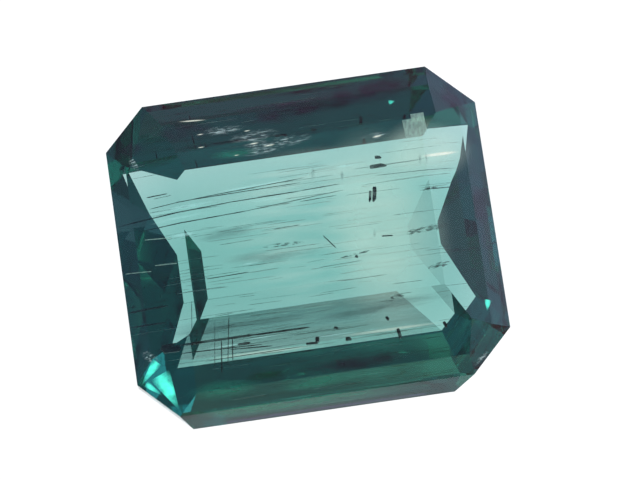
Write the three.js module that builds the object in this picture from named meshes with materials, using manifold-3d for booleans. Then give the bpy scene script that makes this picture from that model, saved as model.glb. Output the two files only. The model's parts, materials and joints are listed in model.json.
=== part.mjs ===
// An emerald gemstone, cut by hand in steps. Millimetres, +Z up.
// The stone lies table up on its small culet facet, with its long side along X.
// It is ground from a rough block. An outline is given at each step, from the table
// down to the culet. Between one outline and the next every side and every corner
// is one flat facet, whose edges at the two outlines are parallel.
import * as THREE from 'three';
import { mergeVertices } from 'three/addons/utils/BufferGeometryUtils.js';
import Module from 'manifold-3d';

// Driving dimensions: the heights of the steps, from the table down to the culet
const CROWN_UPPER_HEIGHT = 0.9;
const CROWN_LOWER_HEIGHT = 0.5;
const BELLY_HEIGHT = 0.95;
const PAVILION_UPPER_DEPTH = 2.5;
const PAVILION_MIDDLE_DEPTH = 1.7;
const PAVILION_LOWER_DEPTH = 1.15;

// The outlines. right, left, back and front say how far each side lies from the
// stone's axis. cuts says how much the four corners lose, as the leg of the
// triangle taken off. Below zero, the corner facet has run out above or below
// this outline, and the number only sets its slope. The stone is native cut,
// so no two sides and no two corners agree.
const TABLE = {
  right: 5.85, left: 5.3, back: 3.75, front: 3.15,
  cuts: { backRight: -0.9, backLeft: 0.4, frontLeft: -0.4, frontRight: -1.3 },
};
const CROWN_BREAK = {
  right: 7.7, left: 7.55, back: 6.35, front: 6.25,
  cuts: { backRight: 1.2, backLeft: 1.8, frontLeft: 1.8, frontRight: 1.2 },
};
const GIRDLE = {
  right: 8.5, left: 8.35, back: 7.35, front: 7.1,
  cuts: { backRight: 2.0, backLeft: 1.9, frontLeft: 1.7, frontRight: 1.9 },
};
const BELLY = {
  right: 8.25, left: 8.35, back: 7.0, front: 7.55,
  cuts: { backRight: 1.8, backLeft: 2.1, frontLeft: 2.2, frontRight: 2.6 },
};
const PAVILION_BREAK = {
  right: 7.55, left: 7.7, back: 4.9, front: 5.75,
  cuts: { backRight: 0.3, backLeft: 0.8, frontLeft: 0.3, frontRight: 1.5 },
};
const KEEL = {
  right: 6.25, left: 5.95, back: 3.1, front: 3.6,
  cuts: { backRight: -0.1, backLeft: 0.0, frontLeft: -1.1, frontRight: 0.7 },
};
const CULET = {
  right: 4.75, left: 4.75, back: 1.25, front: 1.1,
  cuts: { backRight: 0.3, backLeft: 0.1, frontLeft: 0.0, frontRight: 1.0 },
};

const ROUGH_MARGIN = 1.0;
const STONE_COLOUR = 0x3f8f80;
const POLISH_ROUGHNESS = 0.05;
const STONE_OPACITY = 0.7;

// Heights above the culet, which is what the stone rests on
const KEEL_LEVEL = PAVILION_LOWER_DEPTH;
const BREAK_LEVEL = KEEL_LEVEL + PAVILION_MIDDLE_DEPTH;
const BELLY_LEVEL = BREAK_LEVEL + PAVILION_UPPER_DEPTH;
const GIRDLE_LEVEL = BELLY_LEVEL + BELLY_HEIGHT;
const CROWN_LEVEL = GIRDLE_LEVEL + CROWN_LOWER_HEIGHT;
const TABLE_LEVEL = CROWN_LEVEL + CROWN_UPPER_HEIGHT;

const STEPS = [
  { level: TABLE_LEVEL, outline: TABLE },
  { level: CROWN_LEVEL, outline: CROWN_BREAK },
  { level: GIRDLE_LEVEL, outline: GIRDLE },
  { level: BELLY_LEVEL, outline: BELLY },
  { level: BREAK_LEVEL, outline: PAVILION_BREAK },
  { level: KEEL_LEVEL, outline: KEEL },
  { level: 0, outline: CULET },
];

// How far a corner facet's edge lies from the axis, measured across the corner
const cornerReach = (sideX, sideY, cut) => (sideX + sideY - cut) / Math.SQRT2;

// The eight edges of an outline: which way each faces, and how far out it lies
function edges({ right, left, back, front, cuts }) {
  const facing = (x, y) => new THREE.Vector2(x, y).normalize();
  return [
    { facing: facing(1, 0), reach: right },
    { facing: facing(1, 1), reach: cornerReach(right, back, cuts.backRight) },
    { facing: facing(0, 1), reach: back },
    { facing: facing(-1, 1), reach: cornerReach(left, back, cuts.backLeft) },
    { facing: facing(-1, 0), reach: left },
    { facing: facing(-1, -1), reach: cornerReach(left, front, cuts.frontLeft) },
    { facing: facing(0, -1), reach: front },
    { facing: facing(1, -1), reach: cornerReach(right, front, cuts.frontRight) },
  ];
}

// The flat facets that join one step's edges to the next step's, as planes
// whose normals point out of the stone
function facetsBetween(upper, lower) {
  const lowerEdges = edges(lower.outline);
  return edges(upper.outline).map(({ facing, reach }, i) => {
    const drop = upper.level - lower.level;
    const spread = lowerEdges[i].reach - reach;
    const normal = new THREE.Vector3(facing.x * drop, facing.y * drop, spread).normalize();
    const onEdge = new THREE.Vector3(facing.x * reach, facing.y * reach, upper.level);
    return new THREE.Plane().setFromNormalAndCoplanarPoint(normal, onEdge);
  });
}

const wasm = await Module();
wasm.setup();

// A closed three.js geometry as a solid that can be cut
function toSolid(geometry) {
  const bare = geometry.clone();
  bare.deleteAttribute('normal');
  bare.deleteAttribute('uv');
  const merged = mergeVertices(bare);
  return new wasm.Manifold(new wasm.Mesh({
    numProp: 3,
    vertProperties: new Float32Array(merged.attributes.position.array),
    triVerts: new Uint32Array(merged.index.array),
  }));
}

// A solid as a three.js geometry, flat shaded facet by facet
function toGeometry(solid) {
  const mesh = solid.getMesh();
  const indexed = new THREE.BufferGeometry();
  indexed.setAttribute('position', new THREE.BufferAttribute(mesh.vertProperties, 3));
  indexed.setIndex(new THREE.BufferAttribute(mesh.triVerts, 1));
  const faceted = indexed.toNonIndexed();
  faceted.computeVertexNormals();
  return faceted;
}

// The rough block, level with the table above and with the culet below
function roughBlock() {
  const width = GIRDLE.right + GIRDLE.left + 2 * ROUGH_MARGIN;
  const depth = BELLY.front + GIRDLE.back + 2 * ROUGH_MARGIN;
  const block = new THREE.BoxGeometry(width, depth, TABLE_LEVEL);
  block.translate((GIRDLE.right - GIRDLE.left) / 2, (GIRDLE.back - BELLY.front) / 2, TABLE_LEVEL / 2);
  return toSolid(block);
}

// The stone: every facet in turn takes off what lies outside its plane
function cutStone() {
  let stone = roughBlock();
  for (let i = 0; i + 1 < STEPS.length; i += 1) {
    for (const { normal, constant } of facetsBetween(STEPS[i], STEPS[i + 1])) {
      stone = stone.trimByPlane([-normal.x, -normal.y, -normal.z], constant);
    }
  }
  return toGeometry(stone);
}

// Puts the middle of the stone's plan over the origin, with the culet at the bottom
function centred(geometry) {
  geometry.computeBoundingBox();
  const middle = geometry.boundingBox.getCenter(new THREE.Vector3());
  return geometry.translate(-middle.x, -middle.y, -geometry.boundingBox.min.z);
}

const crystal = new THREE.MeshStandardMaterial({
  color: STONE_COLOUR,
  roughness: POLISH_ROUGHNESS,
  metalness: 0,
  transparent: true,
  opacity: STONE_OPACITY,
});

const emerald = new THREE.Mesh(centred(cutStone()), crystal);
emerald.name = 'emerald';

const gemstone = new THREE.Group();
gemstone.add(emerald);

export default gemstone;
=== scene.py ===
"""Looks of a step-cut emerald gemstone: the stone, what grew inside it, a lit white floor and the camera."""

import json
import logging
import math
import random
from collections.abc import Iterator
from contextlib import contextmanager
from dataclasses import asdict, dataclass, field
from enum import Enum

import bpy
from mathutils import Matrix, Vector

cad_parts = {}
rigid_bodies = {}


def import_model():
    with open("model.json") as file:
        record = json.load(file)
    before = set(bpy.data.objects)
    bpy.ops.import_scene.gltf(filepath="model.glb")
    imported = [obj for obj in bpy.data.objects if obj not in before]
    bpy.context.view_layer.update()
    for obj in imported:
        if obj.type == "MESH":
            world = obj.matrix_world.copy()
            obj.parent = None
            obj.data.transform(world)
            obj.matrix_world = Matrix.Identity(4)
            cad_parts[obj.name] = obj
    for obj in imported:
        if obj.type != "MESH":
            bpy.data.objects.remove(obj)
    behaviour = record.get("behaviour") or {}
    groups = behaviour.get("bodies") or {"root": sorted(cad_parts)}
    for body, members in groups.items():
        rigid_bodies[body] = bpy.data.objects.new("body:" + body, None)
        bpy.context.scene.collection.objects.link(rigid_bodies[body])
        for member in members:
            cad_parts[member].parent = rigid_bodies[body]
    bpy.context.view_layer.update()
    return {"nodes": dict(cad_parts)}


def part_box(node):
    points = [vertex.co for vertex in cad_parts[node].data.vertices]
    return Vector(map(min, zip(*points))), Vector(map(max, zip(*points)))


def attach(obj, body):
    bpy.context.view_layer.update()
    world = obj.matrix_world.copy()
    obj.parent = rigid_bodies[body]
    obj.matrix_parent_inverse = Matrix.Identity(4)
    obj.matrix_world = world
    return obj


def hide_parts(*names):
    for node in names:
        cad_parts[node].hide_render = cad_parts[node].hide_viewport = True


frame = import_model()

LOG = logging.getLogger("emerald")
MM = 0.001
ROOT = "root"
STONE_NODE = "emerald"
WHITE = (1.0, 1.0, 1.0, 1.0)
UPWARD = Vector((0, 0, 1))
UNIT_RADIUS = 0.5
CUT_TOLERANCE = 1e-7
NOISE_DETAIL = 3.0
SHEET_MIDDLE_UV = (0.5, 0.5, 0.0)
# The Mix node has several sockets of each name, so its colours go by number
MIX_FIRST_COLOUR = 6
MIX_SECOND_COLOUR = 7
MIX_RESULT_COLOUR = 2
FACET_BOUNCES = 24
MIRROR_BOUNCES = 16


def select_only(*chosen: bpy.types.Object) -> None:
    """Deselects everything, then selects the given objects and makes the first one active.

    Args:
        chosen: the objects that the next operator acts on.
    """
    for other in bpy.context.view_layer.objects:
        other.select_set(False)
    for one in chosen:
        one.select_set(True)
    bpy.context.view_layer.objects.active = chosen[0] if chosen else None


def bake_place(piece: bpy.types.Object) -> None:
    """Moves a piece's place, turn and scale into its mesh, so that its object sits at the origin."""
    select_only(piece)
    bpy.ops.object.transform_apply(location=True, rotation=True, scale=True)


@contextmanager
def edit_mode() -> Iterator[None]:
    """Works on the active mesh in edit mode, with all of it selected to begin with."""
    bpy.ops.object.mode_set(mode="EDIT")
    bpy.ops.mesh.select_all(action="SELECT")
    yield
    bpy.ops.object.mode_set(mode="OBJECT")


@dataclass
class Viewpoint:
    """The camera, in front of the stone and high over it, rolled as the stone lies in the picture.

    The leans and the roll are in radians.
    """

    girdle_middle: tuple[float, float, float] = (-0.075 * MM, 0.1 * MM, 6.3 * MM)
    distance: float = 200.0 * MM
    lean_left: float = 0.012
    lean_front: float = 0.246
    roll: float = math.radians(8.2)
    picture_width: float = 640.0
    picture_height: float = 480.0
    stone_centre_px: tuple[float, float] = (305.6, 242.4)
    px_per_m: float = 22260.0
    sensor: float = 36.0
    clip_factor: float = 100.0

    def axes(self) -> tuple[Vector, Vector, Vector]:
        """Works out the camera's axes.

        Returns:
            The directions to the right, up and forward.
        """
        forward = Vector((math.tan(self.lean_left), math.tan(self.lean_front), -1.0)).normalized()
        level = (Vector((1, 0, 0)) - forward * forward.x).normalized()
        rise = level.cross(forward)
        right = level * math.cos(self.roll) - rise * math.sin(self.roll)
        up = level * math.sin(self.roll) + rise * math.cos(self.roll)
        return right, up, forward

    def line_of_sight(self, pixel: tuple[float, float]) -> tuple[Vector, Vector]:
        """Gives the camera's place and the direction in which it sees a picture point."""
        right, up, forward = self.axes()
        across = (pixel[0] - self.stone_centre_px[0]) / self.px_per_m
        rise = (self.stone_centre_px[1] - pixel[1]) / self.px_per_m
        middle = Vector(self.girdle_middle)
        eye = middle - forward * self.distance
        return eye, (middle + right * across + up * rise - eye).normalized()

    def into_stone(self, pixel: tuple[float, float], depth: float, ior: float) -> Vector:
        """Finds the point in the stone that a picture point shows, through the table.

        Args:
            pixel: the point in the 640 by 480 picture.
            depth: how far the point lies below the table.
            ior: the crystal's index of refraction.

        Returns:
            The point, where the bent line of sight has come down to that depth.
        """
        eye, sight = self.line_of_sight(pixel)
        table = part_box(STONE_NODE)[1][2]
        entry = eye + sight * ((table - eye.z) / sight.z)
        bent = Vector((sight.x / ior, sight.y / ior, 0.0))
        bent.z = -math.sqrt(1.0 - bent.length_squared)
        return entry + bent * (depth / -bent.z)

    def onto_stone(self, pixel: tuple[float, float], stone: "Stone") -> tuple[Vector, Vector]:
        """Finds the point on the stone's polished surface that a picture point shows.

        Args:
            pixel: the point in the 640 by 480 picture.
            stone: the stone.

        Returns:
            The point where the line of sight enters the stone, and the normal of the facet there.
        """
        eye, sight = self.line_of_sight(pixel)
        entered = max(
            ((facet.distance - facet.normal.dot(eye)) / facet.normal.dot(sight), number)
            for number, facet in enumerate(stone.facets())
            if facet.normal.dot(sight) < 0.0
        )
        return eye + sight * entered[0], stone.facets()[entered[1]].normal

    def build(self) -> None:
        """Adds the camera and makes it the scene's own."""
        right, up, forward = self.axes()
        aside = (self.picture_width / 2 - self.stone_centre_px[0]) / self.px_per_m
        above = (self.stone_centre_px[1] - self.picture_height / 2) / self.px_per_m
        target = Vector(self.girdle_middle) + right * aside + up * above
        data = bpy.data.cameras.new("camera")
        data.sensor_width = self.sensor
        data.lens = self.sensor * self.distance * self.px_per_m / self.picture_width
        data.clip_start = self.distance / self.clip_factor
        data.clip_end = self.distance * self.clip_factor
        camera = bpy.data.objects.new("camera", data)
        bpy.context.scene.collection.objects.link(camera)
        camera.location = target - forward * self.distance
        camera.rotation_mode = "QUATERNION"
        camera.rotation_quaternion = Matrix((right, up, -forward)).transposed().to_quaternion()
        bpy.context.scene.camera = camera


@dataclass(frozen=True)
class Facet:
    """One flat face of the stone: its outward normal and its distance from the origin, in metres."""

    normal: Vector
    distance: float


def patchy_mask() -> bpy.types.NodeTree:
    """Gives the node group that makes patches, streaks or speckles, and builds it the first time.

    Returns:
        A group that takes Vector, Size, Stretch along X, Start, Full, Low and High and puts out Mask.
    """
    known = bpy.data.node_groups.get("patchy_mask")
    if known:
        return known
    group = bpy.data.node_groups.new("patchy_mask", "ShaderNodeTree")
    group.interface.new_socket("Vector", in_out="INPUT", socket_type="NodeSocketVector")
    for setting in ("Size", "Stretch", "Start", "Full", "Low", "High"):
        group.interface.new_socket(setting, in_out="INPUT", socket_type="NodeSocketFloat")
    group.interface.new_socket("Mask", in_out="OUTPUT", socket_type="NodeSocketFloat")
    nodes, links = group.nodes, group.links
    given, result = nodes.new("NodeGroupInput"), nodes.new("NodeGroupOutput")
    along = nodes.new("ShaderNodeCombineXYZ")
    along.inputs["Y"].default_value = along.inputs["Z"].default_value = 1.0
    stretch = nodes.new("ShaderNodeVectorMath")
    stretch.operation = "DIVIDE"
    scale = nodes.new("ShaderNodeMath")
    scale.operation = "DIVIDE"
    scale.inputs[0].default_value = 1.0
    noise = nodes.new("ShaderNodeTexNoise")
    noise.inputs["Detail"].default_value = NOISE_DETAIL
    spread = nodes.new("ShaderNodeMapRange")
    links.new(given.outputs["Stretch"], along.inputs["X"])
    links.new(given.outputs["Vector"], stretch.inputs[0])
    links.new(along.outputs["Vector"], stretch.inputs[1])
    links.new(given.outputs["Size"], scale.inputs[1])
    links.new(stretch.outputs["Vector"], noise.inputs["Vector"])
    links.new(scale.outputs["Value"], noise.inputs["Scale"])
    links.new(noise.outputs["Fac"], spread.inputs["Value"])
    limits = {"Start": "From Min", "Full": "From Max", "Low": "To Min", "High": "To Max"}
    for given_name, spread_name in limits.items():
        links.new(given.outputs[given_name], spread.inputs[spread_name])
    links.new(spread.outputs["Result"], result.inputs["Mask"])
    return group


@dataclass(frozen=True)
class Pattern:
    """How the patchy mask is set: the size of its patches, their stretch along X and its limits."""

    size: float
    stretch: float = 1.0
    start: float = 0.35
    full: float = 0.65
    low: float = 0.0
    high: float = 1.0

    def mask(self, nodes: bpy.types.Nodes, links: bpy.types.NodeLinks) -> bpy.types.NodeSocket:
        """Places the patchy mask in a material, in the object's own coordinates.

        Args:
            nodes: the material's nodes.
            links: the material's links.

        Returns:
            The mask's output.
        """
        patches = nodes.new("ShaderNodeGroup")
        patches.node_tree = patchy_mask()
        for setting, value in asdict(self).items():
            patches.inputs[setting.capitalize()].default_value = value
        links.new(nodes.new("ShaderNodeTexCoord").outputs["Object"], patches.inputs["Vector"])
        return patches.outputs["Mask"]


@dataclass(frozen=True)
class CrystalFinish:
    """The hand-polished, see-through crystal: not quite flat, with faint lines from the lap."""

    ior: float = 1.58
    absorbed_per_m: float = 210.0
    kept_colour: tuple[float, float, float, float] = (0.029, 0.581, 0.524, 1.0)
    polishing_lines: Pattern = Pattern(0.06 * MM, stretch=50.0, start=0.60, full=0.75, high=0.04)
    waviness: Pattern = Pattern(0.25 * MM, stretch=12.0, start=0.2, full=0.8)
    wave_height: float = 0.0004 * MM

    def material(self) -> bpy.types.Material:
        """Makes the crystal's material.

        Returns:
            A glass that soaks up red light and lets green and blue through.
        """
        material = bpy.data.materials.new("polished_crystal")
        material.use_nodes = True
        nodes, links = material.node_tree.nodes, material.node_tree.links
        shader = nodes["Principled BSDF"]
        shader.inputs["Base Color"].default_value = WHITE
        shader.inputs["Transmission Weight"].default_value = 1.0
        shader.inputs["IOR"].default_value = self.ior
        volume = nodes.new("ShaderNodeVolumeAbsorption")
        volume.inputs["Color"].default_value = self.kept_colour
        volume.inputs["Density"].default_value = self.absorbed_per_m
        links.new(volume.outputs["Volume"], nodes["Material Output"].inputs["Volume"])
        links.new(self.polishing_lines.mask(nodes, links), shader.inputs["Roughness"])
        bump = nodes.new("ShaderNodeBump")
        bump.inputs["Distance"].default_value = self.wave_height
        links.new(self.waviness.mask(nodes, links), bump.inputs["Height"])
        links.new(bump.outputs["Normal"], shader.inputs["Normal"])
        return material


@dataclass
class Stone:
    """The cut stone: a rough block that is sawn and polished back to each facet in turn.

    Faces whose normals agree to within same_facet, a cosine, are cut as one facet.
    """

    rough_margin: float = 0.5 * MM
    edge_wear: float = 0.03 * MM
    worn_from: float = math.radians(2.0)
    same_facet: float = 0.9999
    skin: float = 0.1 * MM
    finish: CrystalFinish = field(default_factory=CrystalFinish)
    known_facets: list[Facet] = field(default_factory=list)

    def facets(self) -> list[Facet]:
        """Reads the facets off the frame's own solid, the first time.

        Returns:
            Each facet once, in the order in which it is met.
        """
        if not self.known_facets:
            for polygon in frame["nodes"][STONE_NODE].data.polygons:
                normal = polygon.normal.copy()
                if any(normal.dot(facet.normal) > self.same_facet for facet in self.known_facets):
                    continue
                self.known_facets.append(Facet(normal, normal.dot(polygon.center)))
        return self.known_facets

    def rough_block(self) -> bpy.types.Object:
        """Adds the block that the stone is cut from.

        Returns:
            A box a little larger than the stone all round.
        """
        low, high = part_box(STONE_NODE)
        low, high = Vector(low), Vector(high)
        select_only()
        bpy.ops.mesh.primitive_cube_add(size=1.0, location=(low + high) / 2)
        block = bpy.context.active_object
        block.name = "emerald_stone"
        block.scale = (high - low) + Vector((1, 1, 1)) * 2 * self.rough_margin
        bake_place(block)
        return block

    def cut(self, block: bpy.types.Object) -> None:
        """Cuts the block back to every facet."""
        select_only(block)
        with edit_mode():
            for facet in self.facets():
                bpy.ops.mesh.select_all(action="SELECT")
                bpy.ops.mesh.bisect(
                    plane_co=facet.normal * facet.distance,
                    plane_no=facet.normal,
                    use_fill=True,
                    clear_outer=True,
                    threshold=CUT_TOLERANCE,
                )
            bpy.ops.mesh.select_all(action="SELECT")
            bpy.ops.mesh.normals_make_consistent(inside=False)

    def wear_edges(self, block: bpy.types.Object) -> None:
        """Rounds the facet edges by the little that handling wears off."""
        bevel = block.modifiers.new("edge_wear", "BEVEL")
        bevel.width = self.edge_wear
        bevel.segments = 1
        bevel.limit_method = "ANGLE"
        bevel.angle_limit = self.worn_from
        select_only(block)
        bpy.ops.object.modifier_apply(modifier=bevel.name)

    def holds(self, point: Vector) -> bool:
        """Tells whether a point lies in the stone, clear of its skin."""
        return all(facet.normal.dot(point) < facet.distance - self.skin for facet in self.facets())

    def trim(self, start: Vector, end: Vector) -> tuple[Vector, Vector]:
        """Shortens a line to the stretch of it that lies in the stone, clear of its skin.

        Args:
            start: one end, in or out of the stone.
            end: the other end.

        Returns:
            The two ends of what is left.
        """
        first, last = 0.0, 1.0
        for facet in self.facets():
            outside = facet.normal.dot(start) - facet.distance + self.skin
            change = facet.normal.dot(end - start)
            if change > 0.0:
                last = min(last, -outside / change)
            if change < 0.0:
                first = max(first, -outside / change)
        return start.lerp(end, first), start.lerp(end, last)

    def build(self) -> bpy.types.Object:
        """Makes the finished stone.

        Returns:
            The stone, riding on the root body in place of its plain solid.
        """
        block = self.rough_block()
        self.cut(block)
        self.wear_edges(block)
        block.data.materials.clear()
        block.data.materials.append(self.finish.material())
        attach(block, ROOT)
        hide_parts(STONE_NODE)
        return block


class Tone(Enum):
    """How a thing in or on the crystal looks against the light; some tones are painted shade or painted
    light.
    """

    DARK = "dark"
    SMOKY = "smoky"
    SMUDGED = "smudged"
    SILVERY = "silvery"
    PALE = "pale"
    BLUISH = "bluish"
    MILKY = "milky"
    HAZY = "hazy"
    CHALKY = "chalky"
    GREENISH = "greenish"
    RUBBED = "rubbed"
    GLINT = "glint"
    FEATHER = "feather"
    NAVY = "navy"


@dataclass(frozen=True)
class InclusionFinish:
    """The finish of grains, growth tubes, veils, rubbed patches that glow, painted shade and painted glints.

    Where the cover is full, the colour is darkened to a share of itself, shade. A sheet that fades out
    has its full cover within fade_full of its middle and none from fade_edge on, in its UV units.
    """

    tone: Tone
    colour: tuple[float, float, float, float]
    cover: Pattern
    roughness: float = 0.6
    fades_out: bool = False
    # glow is emission: the piece lights itself though it is no lamp, which is painted light
    glow: float = 0.0
    shade: float = 0.6
    fade_full: float = 0.1
    fade_edge: float = 0.5

    def material(self) -> bpy.types.Material:
        """Makes the material, uneven in colour and cover along each grain.

        Returns:
            An opaque or cloudy finish.
        """
        material = bpy.data.materials.new(f"inclusion_{self.tone.value}")
        material.use_nodes = True
        nodes, links = material.node_tree.nodes, material.node_tree.links
        shader = nodes["Principled BSDF"]
        mask = self.cover.mask(nodes, links)
        tint = nodes.new("ShaderNodeMix")
        tint.data_type = "RGBA"
        tint.inputs[MIX_FIRST_COLOUR].default_value = self.colour
        shaded = tuple(self.shade * channel for channel in self.colour[:3]) + (1.0,)
        tint.inputs[MIX_SECOND_COLOUR].default_value = shaded
        links.new(mask, tint.inputs["Factor"])
        links.new(tint.outputs[MIX_RESULT_COLOUR], shader.inputs["Base Color"])
        shader.inputs["Roughness"].default_value = self.roughness
        # Painted light: the piece glows in its own colour, as strongly as glow sets
        shader.inputs["Emission Color"].default_value = self.colour
        shader.inputs["Emission Strength"].default_value = self.glow
        links.new(self.faded(nodes, links, mask) if self.fades_out else mask, shader.inputs["Alpha"])
        return material

    def faded(
        self, nodes: bpy.types.Nodes, links: bpy.types.NodeLinks, mask: bpy.types.NodeSocket
    ) -> bpy.types.NodeSocket:
        """Lets a sheet's cover fade from the middle of the sheet to its edges.

        Args:
            nodes: the material's nodes.
            links: the material's links.
            mask: the cover before it fades.

        Returns:
            The faded cover.
        """
        offset = nodes.new("ShaderNodeVectorMath")
        offset.operation = "SUBTRACT"
        offset.inputs[1].default_value = SHEET_MIDDLE_UV
        length = nodes.new("ShaderNodeVectorMath")
        length.operation = "LENGTH"
        fade = nodes.new("ShaderNodeMapRange")
        fade.interpolation_type = "SMOOTHSTEP"
        fade.inputs["From Min"].default_value = self.fade_edge
        fade.inputs["From Max"].default_value = self.fade_full
        both = nodes.new("ShaderNodeMath")
        both.operation = "MULTIPLY"
        links.new(nodes.new("ShaderNodeTexCoord").outputs["UV"], offset.inputs[0])
        links.new(offset.outputs["Vector"], length.inputs[0])
        links.new(length.outputs["Value"], fade.inputs["Value"])
        links.new(fade.outputs["Result"], both.inputs[0])
        links.new(mask, both.inputs[1])
        return both.outputs["Value"]


FINISHES = {
    finish.tone: finish
    for finish in (
        InclusionFinish(
            Tone.DARK, (0.004, 0.010, 0.010, 1.0), Pattern(0.35 * MM, stretch=2.0, low=0.45), roughness=0.35
        ),
        InclusionFinish(Tone.SMOKY, (0.10, 0.13, 0.07, 1.0), Pattern(0.35 * MM, low=0.2, high=0.5)),
        InclusionFinish(
            Tone.SMUDGED,
            (0.06, 0.09, 0.05, 1.0),
            Pattern(0.10 * MM, stretch=3.0, start=0.45, full=0.65, high=0.6),
        ),
        InclusionFinish(Tone.PALE, (0.75, 0.80, 0.72, 1.0), Pattern(0.35 * MM, low=0.3, high=0.7)),
        # Painted shade: dark bluish sheets
        InclusionFinish(
            Tone.BLUISH,
            (0.02, 0.07, 0.10, 1.0),
            Pattern(0.25 * MM, stretch=8.0, low=0.10, high=0.40),
            fades_out=True,
        ),
        # Partly milky cloud, partly painted light: these sheets glow as brightly as the floor
        InclusionFinish(
            Tone.MILKY,
            (0.90, 0.84, 0.74, 1.0),
            Pattern(0.8 * MM, stretch=5.0, low=0.34, high=0.46),
            fades_out=True,
            glow=1.0,
        ),
        # Partly haze, partly painted light: these sheets glow as brightly as the floor
        InclusionFinish(
            Tone.HAZY,
            (0.90, 0.84, 0.76, 1.0),
            Pattern(0.35 * MM, stretch=9.0, high=0.22),
            fades_out=True,
            glow=1.0,
        ),
        # Painted highlights: pale streaks that glow beside the needles
        InclusionFinish(
            Tone.SILVERY,
            (0.60, 0.92, 0.90, 1.0),
            Pattern(0.3 * MM, stretch=8.0, high=0.7),
            fades_out=True,
            glow=0.9,
        ),
        # Painted light: pale sheets that glow
        InclusionFinish(
            Tone.CHALKY,
            (0.62, 0.92, 0.76, 1.0),
            Pattern(0.3 * MM, stretch=0.4, low=0.35, high=0.80),
            glow=0.26,
        ),
        # Partly wear, partly painted light: whitish rubbed speckles that glow
        InclusionFinish(
            Tone.RUBBED,
            (0.80, 0.98, 0.96, 1.0),
            Pattern(0.08 * MM, stretch=5.0, start=0.47, full=0.75, low=0.03, high=0.90),
            fades_out=True,
            glow=0.42,
        ),
        # Painted shade: dark navy sheets
        InclusionFinish(
            Tone.NAVY,
            (0.022, 0.012, 0.050, 1.0),
            Pattern(0.6 * MM, stretch=1.5, low=0.25, high=0.90),
            fades_out=True,
        ),
        # Mottled green sheets with a faint painted glow
        InclusionFinish(
            Tone.GREENISH,
            (0.01, 0.60, 0.38, 1.0),
            Pattern(0.3 * MM, stretch=4.0, low=0.35, high=0.90),
            fades_out=True,
            glow=0.07,
        ),
        # Painted highlights: mint sheets that glow more brightly than the floor, for flashes of light
        InclusionFinish(
            Tone.FEATHER,
            (0.10, 0.98, 0.76, 1.0),
            Pattern(0.3 * MM, stretch=1.5, low=0.45),
            fades_out=True,
            glow=1.1,
        ),
        # Painted highlights: pale sheets that glow
        InclusionFinish(
            Tone.GLINT, (0.95, 0.97, 0.82, 1.0), Pattern(0.3 * MM, low=0.7), fades_out=True, glow=0.8
        ),
    )
}


class SheetShape(Enum):
    """The outline of a sheet, by its number of corners."""

    WEDGE = 3
    RECTANGLE = 4


@dataclass(frozen=True)
class Streak:
    """Where a needle, grain, veil or sheet lies: its two ends in the picture, its depth and its width.

    The depth counts from the table. A sheet just under the polish has no use for it.
    """

    start: tuple[float, float]
    end: tuple[float, float]
    depth_mm: float = 1.5
    width_mm: float = 0.05

    @property
    def width(self) -> float:
        """Gives the width in metres."""
        return self.width_mm * MM


LONG_NEEDLES = {
    "short one under the left horn": Streak((149.1, 196.1), (171.4, 192.6)),
    "upper long one, left part": Streak((152.3, 207.6), (200.0, 198.0), width_mm=0.035),
    "upper long one": Streak((181.6, 201.2), (300.0, 182.7), width_mm=0.04),
    "topmost long one": Streak((194.4, 198.7), (304.0, 177.8), width_mm=0.035),
    "strongest, from the left edge": Streak((114.7, 224.8), (235.2, 201.2), width_mm=0.06),
    "strongest, right part": Streak((225.0, 203.0), (300.0, 191.0), width_mm=0.045),
    "lowest of the bundle": Streak((142.1, 229.9), (250.5, 210.2), width_mm=0.05),
    "lowest of the bundle, right part": Streak((245.0, 211.2), (343.0, 190.0), width_mm=0.03),
    "middle left": Streak((207.1, 279.0), (249.2, 272.0), width_mm=0.045),
    "middle": Streak((273.5, 229.3), (300.0, 224.8), width_mm=0.03),
    "right of the bundle": Streak((300.0, 190.8), (339.5, 183.8), width_mm=0.04),
    "right of the bundle, lower": Streak((300.0, 201.6), (336.4, 195.3), width_mm=0.03),
    "upper right": Streak((375.3, 175.5), (450.5, 167.2), width_mm=0.025),
    "right end": Streak((425.0, 189.5), (448.0, 186.3), width_mm=0.05),
    "slanted one": Streak((323.0, 235.4), (336.4, 248.2), width_mm=0.05),
    "right middle": Streak((381.6, 236.1), (393.1, 235.4), width_mm=0.06),
    "long one over the lower strip": Streak((180.0, 341.8), (256.0, 331.0), width_mm=0.12),
    "long one, brown end": Streak((252.0, 331.8), (309.0, 323.8), width_mm=0.09),
    "its twin": Streak((182.0, 350.0), (262.0, 341.0), width_mm=0.05),
    "its second twin": Streak((205.0, 358.0), (300.0, 343.5), width_mm=0.035),
    "lower strip, short": Streak((237.3, 341.2), (250.0, 339.3), width_mm=0.12),
    "lower strip": Streak((229.7, 346.3), (271.8, 342.5), width_mm=0.05),
    "left edge, lower": Streak((129.6, 325.3), (169.7, 320.8), width_mm=0.06),
    "left edge, brown": Streak((127.7, 310.6), (171.0, 304.2), width_mm=0.09),
    "brown block, left end of the strip": Streak((163.0, 347.0), (183.0, 344.5), width_mm=0.34),
    "cross stroke, first": Streak((214.4, 318.0), (214.4, 366.0), width_mm=0.03),
    "cross stroke, second": Streak((228.4, 312.0), (227.5, 362.0), width_mm=0.04),
    "cross stroke, third": Streak((196.5, 300.0), (196.5, 345.0), width_mm=0.03),
    "cross stroke, fourth": Streak((221.0, 336.0), (221.5, 371.0), width_mm=0.06),
    "cross stroke, fifth": Streak((232.0, 334.0), (232.5, 358.0), width_mm=0.05),
}

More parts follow.
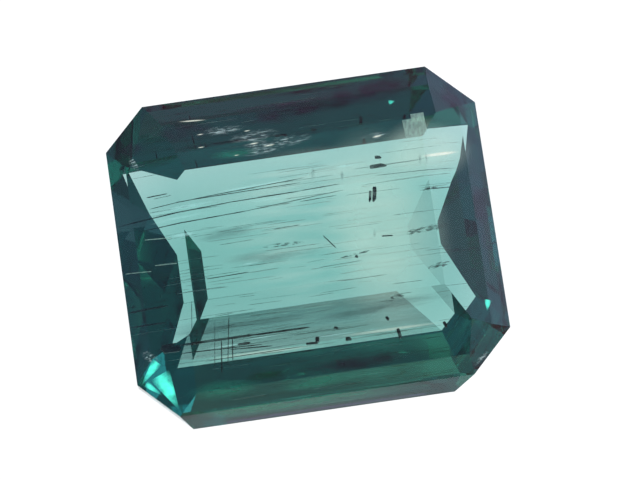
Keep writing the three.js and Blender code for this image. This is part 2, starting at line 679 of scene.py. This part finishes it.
DARK_GRAINS = {
    "black rod": Streak((369.8, 167.2), (386.5, 164.4), depth_mm=1.0, width_mm=0.17),
    "smudge over it": Streak((374.8, 157.4), (381.4, 157.0), depth_mm=1.0, width_mm=0.13),
    "upright rod": Streak((374.6, 186.8), (374.3, 201.8), depth_mm=1.0, width_mm=0.18),
    "upright rod's twin": Streak((370.3, 190.8), (370.0, 202.0), depth_mm=1.0, width_mm=0.12),
    "lower grain": Streak((386.0, 314.6), (388.8, 317.8), depth_mm=1.0, width_mm=0.12),
    "lower left grain": Streak((334.0, 325.0), (338.6, 326.2), depth_mm=1.0, width_mm=0.10),
    "tailed grain": Streak((317.2, 335.0), (317.2, 340.5), depth_mm=1.0, width_mm=0.17),
    "its tail": Streak((306.0, 341.8), (318.0, 340.5), depth_mm=1.0, width_mm=0.09),
    "grain in the lower strip": Streak((345.5, 337.2), (351.5, 336.2), depth_mm=1.0, width_mm=0.16),
    "long grain": Streak((397.6, 326.6), (401.0, 336.5), depth_mm=1.0, width_mm=0.15),
    "right grain": Streak((443.6, 319.6), (446.9, 325.0), depth_mm=1.0, width_mm=0.13),
    "middle grain": Streak((355.2, 256.2), (358.4, 256.8), depth_mm=1.0, width_mm=0.11),
}

SMOKY_VEILS = {
    "right smoke": Streak((406.0, 233.5), (442.0, 224.5), width_mm=0.30),
    "right smoke, upper": Streak((420.0, 190.5), (434.0, 187.5), width_mm=0.18),
    "right smoke, lower": Streak((340.0, 258.0), (372.0, 250.0), width_mm=0.10),
    "middle smoke": Streak((262.0, 247.0), (304.0, 242.0), width_mm=0.16),
    "right end smoke": Streak((428.0, 268.5), (446.0, 262.0), width_mm=0.20),
    "front smoke": Streak((390.0, 294.5), (404.0, 291.5), width_mm=0.18),
}

# Painted shade: dark bluish bands and smudges set level in the crystal, along the facet edges of the window
# and its lower strip
BLUISH_SHADE_BANDS = {
    "edge of the lower strip": Streak((296.0, 320.0), (440.0, 296.5), width_mm=0.45),
    "over the lower strip, right": Streak((300.0, 313.0), (462.0, 290.0), width_mm=0.75),
    "over the lower strip, left": Streak((200.0, 327.0), (330.0, 309.0), width_mm=0.5),
    "middle of the window": Streak((215.0, 262.0), (330.0, 250.0), width_mm=0.9),
    "left of the window": Streak((190.0, 240.0), (260.0, 228.0), width_mm=0.7),
    "over the long needle": Streak((160.0, 334.0), (262.0, 319.0), width_mm=0.8),
    "first smudge": Streak((312.8, 166.0), (312.8, 182.0), width_mm=0.22),
    "second smudge": Streak((342.0, 169.0), (342.0, 182.0), width_mm=0.2),
    "third smudge": Streak((420.0, 152.0), (420.0, 166.0), width_mm=0.18),
    "fourth smudge": Streak((374.6, 228.0), (374.6, 239.0), width_mm=0.18),
}

# Milky sheets level in the crystal: partly milky cloud, partly painted light, as they glow as brightly as
# the floor
MILKY_GLOW_VEILS = {
    "right end of the window": Streak((316.0, 242.0), (446.0, 220.0), depth_mm=2.5, width_mm=10.0),
    "right horn": Streak((376.0, 160.0), (470.0, 145.0), depth_mm=2.5, width_mm=3.0),
    "lower strip, right": Streak((330.0, 332.0), (452.0, 315.0), depth_mm=2.5, width_mm=0.20),
    "lower strip, left": Streak((196.0, 355.0), (330.0, 338.0), depth_mm=2.5, width_mm=0.22),
}

# Painted highlights: glowing pale streaks beside the dark needles
SILVERY_HIGHLIGHTS = {
    "under the strongest needle": Streak((150.0, 223.5), (214.0, 211.0), width_mm=0.15),
    "over the strongest needle": Streak((148.0, 213.5), (222.0, 200.0), width_mm=0.20),
    "between the long ones": Streak((206.0, 194.5), (302.0, 177.0), width_mm=0.10),
    "under the long ones": Streak((238.0, 204.5), (330.0, 189.0), width_mm=0.12),
    "short bright one": Streak((238.0, 265.5), (264.0, 261.0), width_mm=0.08),
    "left strip": Streak((174.0, 236.0), (196.0, 233.0), width_mm=0.25),
    "lower strip, first": Streak((232.0, 338.5), (300.0, 328.0), width_mm=0.07),
    "lower strip, second": Streak((196.0, 347.0), (262.0, 337.5), width_mm=0.09),
    "lower strip, third": Streak((300.0, 336.0), (400.0, 322.5), width_mm=0.08),
    "under the rods": Streak((330.0, 168.0), (368.0, 162.5), width_mm=0.12),
}

# Hazy sheets level in the crystal: partly haze, partly painted light, as they glow as brightly as the floor
HAZY_GLOW_SHEETS = {
    "whole window": Streak((205.0, 250.0), (405.0, 216.0), depth_mm=2.0, width_mm=8.5),
    "back of the window": Streak((180.0, 200.0), (440.0, 157.0), depth_mm=2.2, width_mm=2.6),
}

# Whitish rubbed patches under the polish: partly wear, partly painted light, as they glow
RUBBED_GLOW_PATCHES = {
    "behind the table, core": Streak((240.0, 147.5), (274.0, 141.5), width_mm=0.60),
    "behind the table, right": Streak((258.0, 145.5), (316.0, 135.5), width_mm=0.70),
    "behind the table, upper": Streak((226.0, 140.5), (282.0, 131.0), width_mm=0.75),
    "behind the table, left": Streak((196.0, 134.0), (246.0, 126.5), width_mm=0.55),
    "behind the table, low": Streak((230.0, 156.0), (290.0, 146.0), width_mm=0.45),
    "back edge of the table": Streak((358.0, 138.5), (392.0, 132.5), width_mm=0.40),
    "left horn": Streak((129.0, 157.0), (138.0, 170.0), width_mm=0.50),
    "front left corner": Streak((140.0, 352.0), (160.0, 362.0), width_mm=0.5),
    "front right corner": Streak((474.0, 366.0), (490.0, 350.0), width_mm=0.3),
}

# Painted shade: dark navy sheets just under the polish of the crown and sides, for dark reflections and
# shade in the frame
NAVY_SHADE_PATCHES = {
    "back crown, right": Streak((295.0, 103.0), (432.0, 81.0), width_mm=1.8),
    "back crown, middle": Streak((210.0, 121.0), (350.0, 99.0), width_mm=1.8),
    "back crown, left": Streak((148.0, 136.0), (220.0, 127.0), width_mm=1.4),
    "back left corner": Streak((116.0, 152.0), (152.0, 146.0), width_mm=1.0),
    "back right corner": Streak((428.0, 84.0), (470.0, 116.0), width_mm=1.1),
    "right side": Streak((470.0, 140.0), (492.0, 280.0), width_mm=1.0),
    "front": Streak((290.0, 373.0), (425.0, 352.0), width_mm=0.8),
}

# Mottled green sheets just under the polish, with a faint painted glow
GREEN_PATCHES = {
    "front edge": Streak((190.0, 417.0), (432.0, 383.0), width_mm=1.5),
    "front edge, left": Streak((186.0, 418.0), (300.0, 401.0), width_mm=1.2),
    "front, left": Streak((182.0, 396.0), (268.0, 383.0), width_mm=1.1),
    "front, middle": Streak((270.0, 389.0), (372.0, 373.0), width_mm=0.7),
    "left side, low": Streak((124.0, 330.0), (134.0, 366.0), width_mm=0.8),
    "behind, left": Streak((205.0, 157.0), (262.0, 150.0), width_mm=0.6),
}

# Painted light: glowing pale sheets under the polish; the patch over the right horn is a painted reflection
PALE_GLOW_PATCHES = {
    "over the right horn": Streak((404.0, 129.0), (426.0, 125.0), width_mm=1.00),
    "over the right horn, upper": Streak((411.0, 118.0), (424.0, 116.0), width_mm=0.45),
    "left, first": Streak((144.6, 240.0), (171.4, 237.6), width_mm=0.04),
    "left, second": Streak((154.8, 265.6), (176.5, 263.1), width_mm=0.04),
    "left, third": Streak((125.5, 274.0), (151.0, 271.4), width_mm=0.035),
}

# Painted highlights: glowing pale sheets just under the polish, for glints and bright specks
GLINTS = {
    "long line": Streak((176.0, 121.8), (208.0, 119.4), width_mm=0.10),
    "back edge": Streak((371.0, 137.5), (383.0, 134.5), width_mm=0.12),
    "first speck": Streak((196.0, 134.9), (204.0, 133.6), width_mm=0.07),
    "second speck": Streak((197.0, 147.7), (205.0, 146.4), width_mm=0.07),
    "third speck": Streak((232.0, 155.7), (240.0, 154.4), width_mm=0.06),
    "fourth speck": Streak((243.0, 131.2), (251.0, 129.9), width_mm=0.07),
    "fifth speck": Streak((262.0, 146.4), (276.0, 143.8), width_mm=0.08),
    "sixth speck": Streak((248.0, 144.2), (260.0, 142.2), width_mm=0.08),
    "white streak": Streak((418.0, 157.0), (462.0, 151.0), width_mm=0.22),
}

# Painted highlights: glowing mint wedges just under the polish, for the flash at the front left corner and
# small flashes and glints
PAINTED_FLASHES = {
    "front left corner": Streak((155.5, 367.0), (177.5, 407.0), width_mm=0.98),
    "front left corner, upper": Streak((160.6, 356.7), (142.8, 383.4), width_mm=0.48),
    "front left corner, edge": Streak((142.2, 381.3), (161.1, 394.7), width_mm=0.32),
    "right side, low": Streak((488.5, 297.0), (487.5, 310.0), width_mm=0.36),
    "green glint behind": Streak((387.0, 102.5), (394.5, 101.0), width_mm=0.28),
}


@dataclass
class Inclusions:
    """What grew in the crystal or lies just under its polish, with painted shade and light, placed where the
    picture shows it.
    """

    stone: Stone
    viewpoint: Viewpoint
    needle_sides: int = 6
    taper: float = 0.3
    tip_share: float = 0.12
    tip_facing: float = 0.9
    fine_half_length_mm: tuple[float, float] = (0.25, 1.6)
    fine_slant_mm: tuple[float, float] = (-0.02, 0.02)
    fine_width_mm: tuple[float, float] = (0.012, 0.03)
    grain_bevel: float = 0.12
    grain_break: tuple[float, float, float] = (0, 0, 0.42)
    grain_break_facing: tuple[float, float, float] = (0.35, 0.1, 1.0)
    veil_segments: int = 16
    veil_rings: int = 10
    veil_thickness: float = 0.03 * MM
    veil_raggedness: float = 0.02 * MM
    wedge_radius: float = 0.6
    under_polish: float = 0.04 * MM

    def ends(self, streak: Streak) -> tuple[Vector, Vector]:
        """Finds where in the stone the two ends of a streak lie, seen through the table."""
        ior = self.stone.finish.ior
        depth = streak.depth_mm * MM
        start = self.viewpoint.into_stone(streak.start, depth, ior)
        return start, self.viewpoint.into_stone(streak.end, depth, ior)

    def needle_pattern(self) -> bpy.types.Object:
        """Models one needle: a thin six-sided rod along Z, one long and one thick, drawn out at both tips.

        Returns:
            The pattern that every needle is copied from.
        """
        select_only()
        bpy.ops.mesh.primitive_cylinder_add(
            vertices=self.needle_sides, radius=UNIT_RADIUS, depth=1.0 - 2 * self.tip_share
        )
        pattern = bpy.context.active_object
        pattern.name = "needle_pattern"
        for way in (1.0, -1.0):
            bpy.ops.object.mode_set(mode="EDIT")
            bpy.ops.mesh.select_mode(type="FACE")
            bpy.ops.mesh.select_all(action="DESELECT")
            bpy.ops.object.mode_set(mode="OBJECT")
            for polygon in pattern.data.polygons:
                polygon.select = polygon.normal.z * way > self.tip_facing
            bpy.ops.object.mode_set(mode="EDIT")
            bpy.ops.mesh.extrude_region_move(
                TRANSFORM_OT_translate={"value": (0.0, 0.0, way * self.tip_share)}
            )
            bpy.ops.transform.resize(value=(self.taper, self.taper, 1.0))
            bpy.ops.object.mode_set(mode="OBJECT")
        return pattern

    def copy_between(
        self,
        pattern: bpy.types.Object,
        start: Vector,
        end: Vector,
        width: float,
        height: float,
        up: Vector = UPWARD,
    ) -> bpy.types.Object:
        """Copies the pattern with its own mesh and stretches it from one point to another.

        Args:
            pattern: the shape along Z to copy.
            start: one end.
            end: the other end.
            width: how wide the copy is.
            height: how thick the copy is, up and down.
            up: which way the copy's upper side faces.

        Returns:
            The copy.
        """
        copy = pattern.copy()
        copy.data = pattern.data.copy()
        bpy.context.scene.collection.objects.link(copy)
        along = end - start
        ahead = along.normalized()
        aside = up.cross(ahead).normalized()
        turn = Matrix((aside, ahead.cross(aside), ahead)).transposed().to_4x4()
        size = Matrix.Diagonal((width, height, along.length, 1.0))
        copy.matrix_world = Matrix.Translation((start + end) / 2) @ turn @ size
        return copy

    def finish_piece(
        self, name: str, copies: list[bpy.types.Object], finish: InclusionFinish
    ) -> bpy.types.Object:
        """Joins copies into one piece, dresses it and lets it ride.

        Args:
            name: the piece's name.
            copies: the shapes that make it up.
            finish: what it is dressed in.

        Returns:
            The finished piece.
        """
        select_only(*copies)
        bpy.ops.object.transform_apply(location=True, rotation=True, scale=True)
        bpy.ops.object.join()
        piece = bpy.context.active_object
        piece.name = name
        with edit_mode():
            bpy.ops.mesh.normals_make_consistent(inside=False)
        bake_place(piece)
        piece.data.materials.clear()
        piece.data.materials.append(finish.material())
        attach(piece, ROOT)
        LOG.info("%s: %d faces", name, len(piece.data.polygons))
        return piece

    def needles(self, name: str, streaks: dict[str, Streak], finish: InclusionFinish) -> None:
        """Builds a family of needles from the streaks that the picture shows.

        Args:
            name: the piece's name.
            streaks: the needles, by where each lies.
            finish: what they are dressed in.
        """
        pattern = self.needle_pattern()
        copies = []
        for streak in streaks.values():
            start, end = self.stone.trim(*self.ends(streak))
            copies.append(self.copy_between(pattern, start, end, streak.width, streak.width))
        bpy.data.objects.remove(pattern)
        self.finish_piece(name, copies, finish)

    def random_needles(self, name: str, count: int, finish: InclusionFinish, seed: int) -> None:
        """Scatters fine needles through the crystal, all along its growth axis, which is X.

        Args:
            name: the piece's name.
            count: how many there are.
            finish: what they are dressed in.
            seed: sets the scatter.
        """
        draw = random.Random(seed)
        pattern = self.needle_pattern()
        low, high = (Vector(corner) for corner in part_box(STONE_NODE))
        copies = []
        while len(copies) < count:
            middle = Vector(draw.uniform(a, b) for a, b in zip(low, high))
            along = draw.uniform(*self.fine_half_length_mm) * MM
            half = Vector((along, draw.uniform(*self.fine_slant_mm) * MM, 0.0))
            width = draw.uniform(*self.fine_width_mm) * MM
            if self.stone.holds(middle - half) and self.stone.holds(middle + half):
                copies.append(self.copy_between(pattern, middle - half, middle + half, width, width))
        bpy.data.objects.remove(pattern)
        self.finish_piece(name, copies, finish)

    def crystals(self, name: str, streaks: dict[str, Streak], finish: InclusionFinish) -> None:
        """Builds dark mineral grains: small blocks with bevelled edges and one end broken off.

        Args:
            name: the piece's name.
            streaks: the grains, by where each lies.
            finish: what they are dressed in.
        """
        select_only()
        bpy.ops.mesh.primitive_cube_add(size=1.0)
        pattern = bpy.context.active_object
        with edit_mode():
            bpy.ops.mesh.bevel(offset=self.grain_bevel, segments=1)
            bpy.ops.mesh.select_all(action="SELECT")
            bpy.ops.mesh.bisect(
                plane_co=self.grain_break, plane_no=self.grain_break_facing, use_fill=True, clear_outer=True
            )
        copies = []
        for streak in streaks.values():
            copies.append(self.copy_between(pattern, *self.ends(streak), streak.width, streak.width))
        bpy.data.objects.remove(pattern)
        self.finish_piece(name, copies, finish)

    def veils(self, name: str, streaks: dict[str, Streak], finish: InclusionFinish, seed: int) -> None:
        """Builds cloudy veils: flat, ragged lenses that lie nearly level.

        Args:
            name: the piece's name.
            streaks: the veils, by where each lies.
            finish: what they are dressed in.
            seed: sets how ragged each is.
        """
        select_only()
        bpy.ops.mesh.primitive_uv_sphere_add(
            segments=self.veil_segments, ring_count=self.veil_rings, radius=UNIT_RADIUS
        )
        pattern = bpy.context.active_object
        copies = []
        for number, streak in enumerate(streaks.values()):
            veil = self.copy_between(pattern, *self.ends(streak), streak.width, self.veil_thickness)
            select_only(veil)
            with edit_mode():
                bpy.ops.transform.vertex_random(offset=self.veil_raggedness, seed=seed + number)
            copies.append(veil)
        bpy.data.objects.remove(pattern)
        self.finish_piece(name, copies, finish)

    def sheet_pattern(self, shape: SheetShape) -> bpy.types.Object:
        """Models a flat sheet along Z, about one long and one wide.

        Args:
            shape: its outline; a wedge points along Z.

        Returns:
            The pattern that every sheet is copied from.
        """
        select_only()
        if shape is SheetShape.RECTANGLE:
            bpy.ops.mesh.primitive_plane_add(size=1.0, rotation=(-math.pi / 2, 0, 0))
        else:
            bpy.ops.mesh.primitive_circle_add(
                vertices=shape.value,
                radius=self.wedge_radius,
                fill_type="NGON",
                rotation=(math.pi / 2, 0, 0),
            )
        pattern = bpy.context.active_object
        bake_place(pattern)
        return pattern

    def sheets(
        self,
        name: str,
        streaks: dict[str, Streak],
        finish: InclusionFinish,
        on_surface: bool = False,
        shape: SheetShape = SheetShape.RECTANGLE,
    ) -> None:
        """Builds thin sheets: level ones in the crystal, or ones just under the polish.

        Args:
            name: the piece's name.
            streaks: the sheets, by where each lies.
            finish: what they are dressed in.
            on_surface: whether they lie just under the polish instead of level in the crystal.
            shape: their outline.
        """
        pattern = self.sheet_pattern(shape)
        copies = []
        for streak in streaks.values():
            facing = UPWARD
            if on_surface:
                start, facing = self.viewpoint.onto_stone(streak.start, self.stone)
                end, facing = self.viewpoint.onto_stone(streak.end, self.stone)
                start, end = (point - facing * self.under_polish for point in (start, end))
            else:
                start, end = self.ends(streak)
            copies.append(self.copy_between(pattern, start, end, streak.width, 1.0, facing))
        bpy.data.objects.remove(pattern)
        self.clip(self.finish_piece(name, copies, finish))

    def clip(self, piece: bpy.types.Object) -> None:
        """Cuts off what sticks out of the stone."""
        select_only(piece)
        with edit_mode():
            for facet in self.stone.facets():
                bpy.ops.mesh.select_all(action="SELECT")
                bpy.ops.mesh.bisect(
                    plane_co=facet.normal * (facet.distance - self.under_polish / 2),
                    plane_no=facet.normal,
                    clear_outer=True,
                    threshold=CUT_TOLERANCE,
                )

    def build(self) -> None:
        """Builds every family of inclusions and glowing sheets, then the marks, painted shade and highlights
        just under the polish.
        """
        self.needles("growth_needles", LONG_NEEDLES, FINISHES[Tone.DARK])
        self.random_needles("fine_needles", 130, FINISHES[Tone.SMOKY], seed=7)
        self.random_needles("pale_needles", 60, FINISHES[Tone.PALE], seed=11)
        self.crystals("dark_crystals", DARK_GRAINS, FINISHES[Tone.DARK])
        self.veils("smoky_veils", SMOKY_VEILS, FINISHES[Tone.SMUDGED], seed=3)
        # painted shade: dark bluish bands
        self.sheets("bluish_shade_bands", BLUISH_SHADE_BANDS, FINISHES[Tone.BLUISH])
        # milky sheets that glow: painted light
        self.sheets("milky_glow_veils", MILKY_GLOW_VEILS, FINISHES[Tone.MILKY])
        # hazy sheets that glow: painted light
        self.sheets("hazy_glow_sheets", HAZY_GLOW_SHEETS, FINISHES[Tone.HAZY])
        # painted highlights beside the needles
        self.sheets("silvery_highlights", SILVERY_HIGHLIGHTS, FINISHES[Tone.SILVERY])
        # painted shade under the crown's polish
        self.sheets("navy_shade_patches", NAVY_SHADE_PATCHES, FINISHES[Tone.NAVY], on_surface=True)
        # green sheets with a faint painted glow
        self.sheets("green_patches", GREEN_PATCHES, FINISHES[Tone.GREENISH], on_surface=True)
        # painted reflection and glowing pale streaks
        self.sheets("pale_glow_patches", PALE_GLOW_PATCHES, FINISHES[Tone.CHALKY], on_surface=True)
        # rubbed patches that glow: partly wear, partly painted light
        self.sheets("rubbed_glow_patches", RUBBED_GLOW_PATCHES, FINISHES[Tone.RUBBED], on_surface=True)
        # painted highlights
        self.sheets("glints", GLINTS, FINISHES[Tone.GLINT], on_surface=True)
        wedge = SheetShape.WEDGE
        # painted flashes of light
        self.sheets("painted_flashes", PAINTED_FLASHES, FINISHES[Tone.FEATHER], on_surface=True, shape=wedge)


@dataclass(frozen=True)
class SoftLight:
    """A soft light on the dome: where it stands, how tight it is and its colour.

    The azimuth is in degrees from +X, and the elevation in degrees above the floor.
    """

    azimuth: float
    elevation: float
    tightness: float
    colour: tuple[float, float, float]

    def direction(self) -> Vector:
        """Gives the direction from the stone to the light."""
        turn, rise = math.radians(self.azimuth), math.radians(self.elevation)
        return Vector((math.cos(turn) * math.cos(rise), math.sin(turn) * math.cos(rise), math.sin(rise)))


DOME_LIGHTS = {
    "right and behind, low": SoftLight(30.0, 15.0, 14.0, (0.68, 1.51, 1.99)),
    "right, at the horizon": SoftLight(30.0, 5.0, 14.0, (0.51, 0.91, 1.16)),
    "behind on the left, wide": SoftLight(135.0, 42.0, 4.0, (0.10, 0.28, 0.38)),
    "right and in front": SoftLight(330.0, 28.0, 14.0, (0.51, 0.32, 0.39)),
    "left, at the horizon": SoftLight(180.0, 5.0, 14.0, (0.32, 0.67, 0.93)),
    "high on the right, wide": SoftLight(45.0, 60.0, 4.0, (0.13, 0.27, 0.27)),
    "front left, high": SoftLight(225.0, 42.0, 14.0, (0.00, 0.28, 0.42)),
    "front, high": SoftLight(270.0, 42.0, 14.0, (0.38, 0.65, 0.46)),
    "behind on the right, low": SoftLight(60.0, 15.0, 14.0, (0.50, 0.05, 0.28)),
    "behind, low": SoftLight(100.0, 15.0, 14.0, (0.29, 0.02, 0.10)),
    "right, low": SoftLight(0.0, 20.0, 14.0, (0.51, 0.00, 0.05)),
}


@dataclass
class Studio:
    """The white lit floor under the stone and the soft lights on the dark dome over it."""

    floor_half: float = 3.0
    air_gap: float = 0.02 * MM
    floor_glow: float = 1.0
    floor_roughness: float = 0.9
    floor_colour: tuple[float, float, float, float] = (0.2, 0.2, 0.2, 1.0)
    dome_colour: tuple[float, float, float, float] = (0.12, 0.005, 0.06, 1.0)

    def floor(self) -> None:
        """Adds the floor, which glows evenly like a light table, a hair's breadth below the stone."""
        select_only()
        bpy.ops.mesh.primitive_plane_add(size=2 * self.floor_half, location=(0, 0, -self.air_gap))
        floor = bpy.context.active_object
        floor.name = "floor"
        bake_place(floor)
        material = bpy.data.materials.new("light_table")
        material.use_nodes = True
        shader = material.node_tree.nodes["Principled BSDF"]
        shader.inputs["Base Color"].default_value = self.floor_colour
        shader.inputs["Roughness"].default_value = self.floor_roughness
        shader.inputs["Specular IOR Level"].default_value = 0.0
        shader.inputs["Emission Color"].default_value = WHITE
        shader.inputs["Emission Strength"].default_value = self.floor_glow
        floor.data.materials.append(material)

    def surroundings(self) -> None:
        """Sets the dome, with each soft light fading evenly away from its middle."""
        world = bpy.data.worlds.new("studio")
        bpy.context.scene.world = world
        world.use_nodes = True
        nodes, links = world.node_tree.nodes, world.node_tree.links
        place = nodes.new("ShaderNodeTexCoord")
        total = nodes.new("ShaderNodeRGB").outputs[0]
        total.default_value = self.dome_colour
        for light in DOME_LIGHTS.values():
            nearness = nodes.new("ShaderNodeVectorMath")
            nearness.operation = "DOT_PRODUCT"
            nearness.inputs[1].default_value = light.direction()
            fall = nodes.new("ShaderNodeMath")
            fall.operation = "MULTIPLY_ADD"
            fall.inputs[1].default_value = light.tightness
            fall.inputs[2].default_value = -light.tightness
            glow = nodes.new("ShaderNodeMath")
            glow.operation = "EXPONENT"
            add = nodes.new("ShaderNodeVectorMath")
            add.operation = "MULTIPLY_ADD"
            add.inputs[0].default_value = light.colour
            links.new(place.outputs["Generated"], nearness.inputs[0])
            links.new(nearness.outputs["Value"], fall.inputs[0])
            links.new(fall.outputs["Value"], glow.inputs[0])
            links.new(glow.outputs["Value"], add.inputs[1])
            links.new(total, add.inputs[2])
            total = add.outputs["Vector"]
        links.new(total, nodes["Background"].inputs["Color"])


def set_colour_view() -> None:
    """Shows the picture's colours as they are rendered, with room for light to pass through many facets."""
    scene = bpy.context.scene
    scene.view_settings.view_transform = "Standard"
    scene.cycles.max_bounces = FACET_BOUNCES
    scene.cycles.transmission_bounces = FACET_BOUNCES
    scene.cycles.glossy_bounces = MIRROR_BOUNCES
    scene.cycles.transparent_max_bounces = FACET_BOUNCES


def main() -> None:
    """Builds the stage, the camera and the stone."""
    logging.basicConfig(level=logging.INFO, format="%(name)s: %(message)s")
    set_colour_view()
    viewpoint = Viewpoint()
    viewpoint.build()
    studio = Studio()
    studio.floor()
    studio.surroundings()
    stone = Stone()
    body = stone.build()
    LOG.info("%s: %d faces", body.name, len(body.data.polygons))
    Inclusions(stone, viewpoint).build()


if __name__ == "__main__":
    main()
